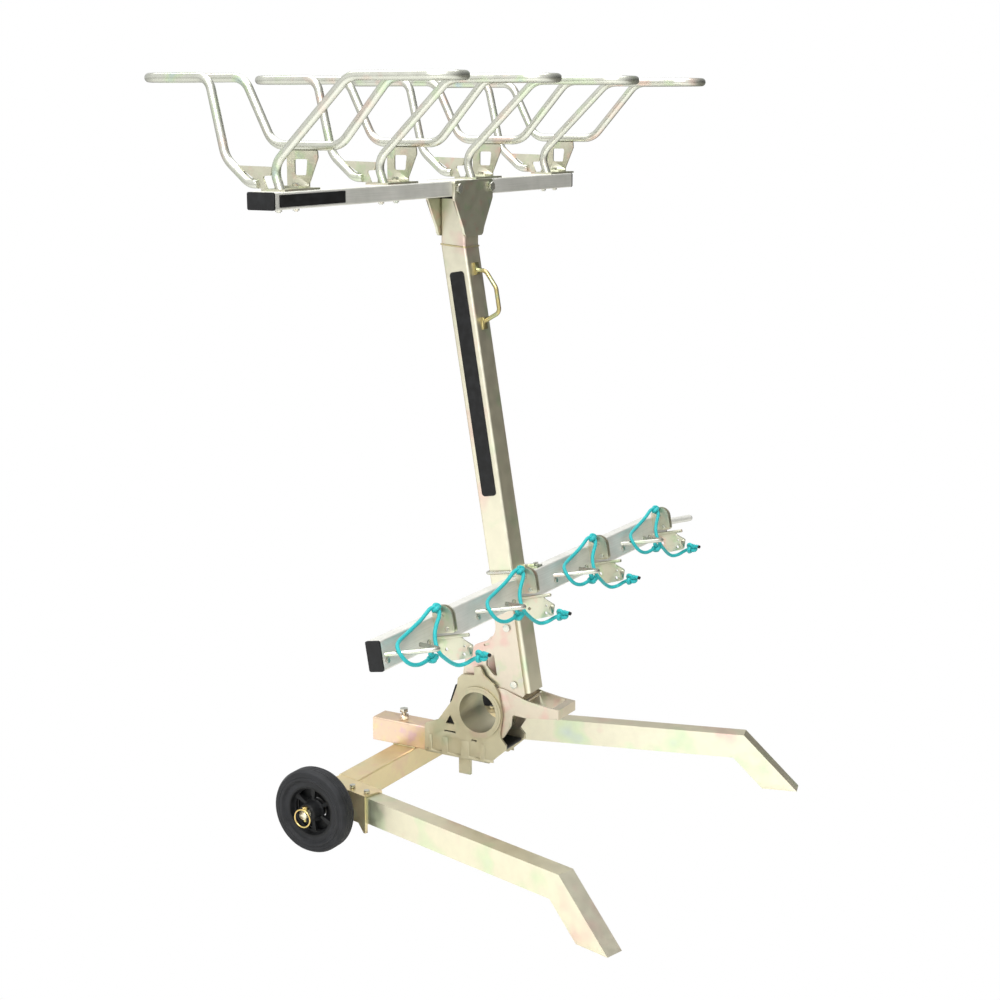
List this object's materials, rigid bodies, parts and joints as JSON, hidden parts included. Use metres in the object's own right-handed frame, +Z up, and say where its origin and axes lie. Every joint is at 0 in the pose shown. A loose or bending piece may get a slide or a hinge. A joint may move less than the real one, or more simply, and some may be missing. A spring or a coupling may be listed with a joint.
{
  "type": "vertical bicycle rack on wheeled stand",
  "caption": "Leaning mast with hooped carriers on a top bar and roped cradles on a lower bar, plugged by a tilting hitch head into a wheeled two-legged storage stand.",
  "frame": {"origin": "middle of the footprint of the object's box, on the floor", "axes": "+X along the two cross bars, -Y towards the side that carries the bicycles, +Z up"},
  "size_m": [1.625, 1.0306, 1.7645],
  "materials": {
    "gold_zinc": "yellow chromate zinc plated steel, satin, iridescent",
    "silver_zinc": "clear zinc plated steel rod, satin with a faint iridescence",
    "head_steel": "olive chromate zinc plated steel",
    "bar_alloy": "grey anodised aluminium box section",
    "black_plastic": "moulded black plastic",
    "black_plate": "black anodised blank plate",
    "tyre_rubber": "ribbed black rubber",
    "rope_cord": "braided polyester rope",
    "fastener_zinc": "zinc plated fasteners",
    "gold_pin": "yellow zinc plated pin"
  },
  "bodies": {
    "stand": {"cross_beam": "gold_zinc", "right_leg": "gold_zinc", "left_leg": "gold_zinc", "right_leg_sleeve": "gold_zinc", "left_leg_sleeve": "gold_zinc", "sleeve_screws": "fastener_zinc", "receiver_tube": "gold_zinc", "receiver_clamp_bolt": "fastener_zinc", "left_axle": "gold_zinc", "right_axle": "gold_zinc", "linch_pins": "gold_pin", "tongue": "gold_zinc", "left_head_plate": "head_steel", "right_head_plate": "head_steel", "head_block": "head_steel", "pivot_pipe": "head_steel", "pivot_collars": "head_steel", "head_fin": "head_steel", "head_inserts": "black_plastic"},
    "mast": {"cradle_screws": "fastener_zinc", "end_rod": "bar_alloy", "gusset_bolts": "fastener_zinc", "gusset_plates": "silver_zinc", "hoop_bolts": "fastener_zinc", "hoop_bracket_1": "silver_zinc", "hoop_bracket_2": "silver_zinc", "hoop_bracket_3": "silver_zinc", "hoop_bracket_4": "silver_zinc", "label_plates": "black_plate", "left_side_plate": "silver_zinc", "lower_bar": "bar_alloy", "lower_bar_caps": "black_plastic", "lug_pins": "fastener_zinc", "mast_handle": "silver_zinc", "mast_stub": "gold_zinc", "mast_tube": "gold_zinc", "right_side_plate": "silver_zinc", "rope_1": "rope_cord", "rope_2": "rope_cord", "rope_3": "rope_cord", "rope_4": "rope_cord", "rope_guards": "silver_zinc", "rope_knots": "rope_cord", "rope_lugs": "silver_zinc", "side_plate_bolts": "fastener_zinc", "stub_cap": "black_plastic", "top_bar": "bar_alloy", "top_bar_caps": "black_plastic", "u_bolt": "silver_zinc", "u_bolt_screws": "fastener_zinc", "wheel_hoop_1": "silver_zinc", "wheel_hoop_2": "silver_zinc", "wheel_hoop_3": "silver_zinc", "wheel_hoop_4": "silver_zinc", "wheel_loops": "silver_zinc"},
    "pedal": {"foot_pedal": "silver_zinc"},
    "left_wheel": {"left_tyre": "tyre_rubber", "left_rim": "black_plastic"},
    "right_wheel": {"right_tyre": "tyre_rubber", "right_rim": "black_plastic"}
  },
  "joints": [
    {"name": "mast_tilt", "type": "hinge", "parent": "stand", "child": "mast", "pos_m": [-0.0565, 0.09274, 0.276], "axis": [1, 0, 0], "range_deg": [0, 40]},
    {"name": "pedal_press", "type": "hinge", "parent": "mast", "child": "pedal", "pos_m": [-0.0565, 0.09274, 0.276], "axis": [1, 0, 0], "range_deg": [0, 10], "stiffness_Nm_per_rad": 8, "springref_deg": -34.38},
    {"name": "left_wheel_spin", "type": "hinge", "parent": "stand", "child": "left_wheel", "pos_m": [-0.45053, 0.33454, 0.1], "axis": [1, 0, 0], "continuous": true},
    {"name": "right_wheel_spin", "type": "hinge", "parent": "stand", "child": "right_wheel", "pos_m": [0.33753, 0.33454, 0.1], "axis": [1, 0, 0], "continuous": true}
  ]
}
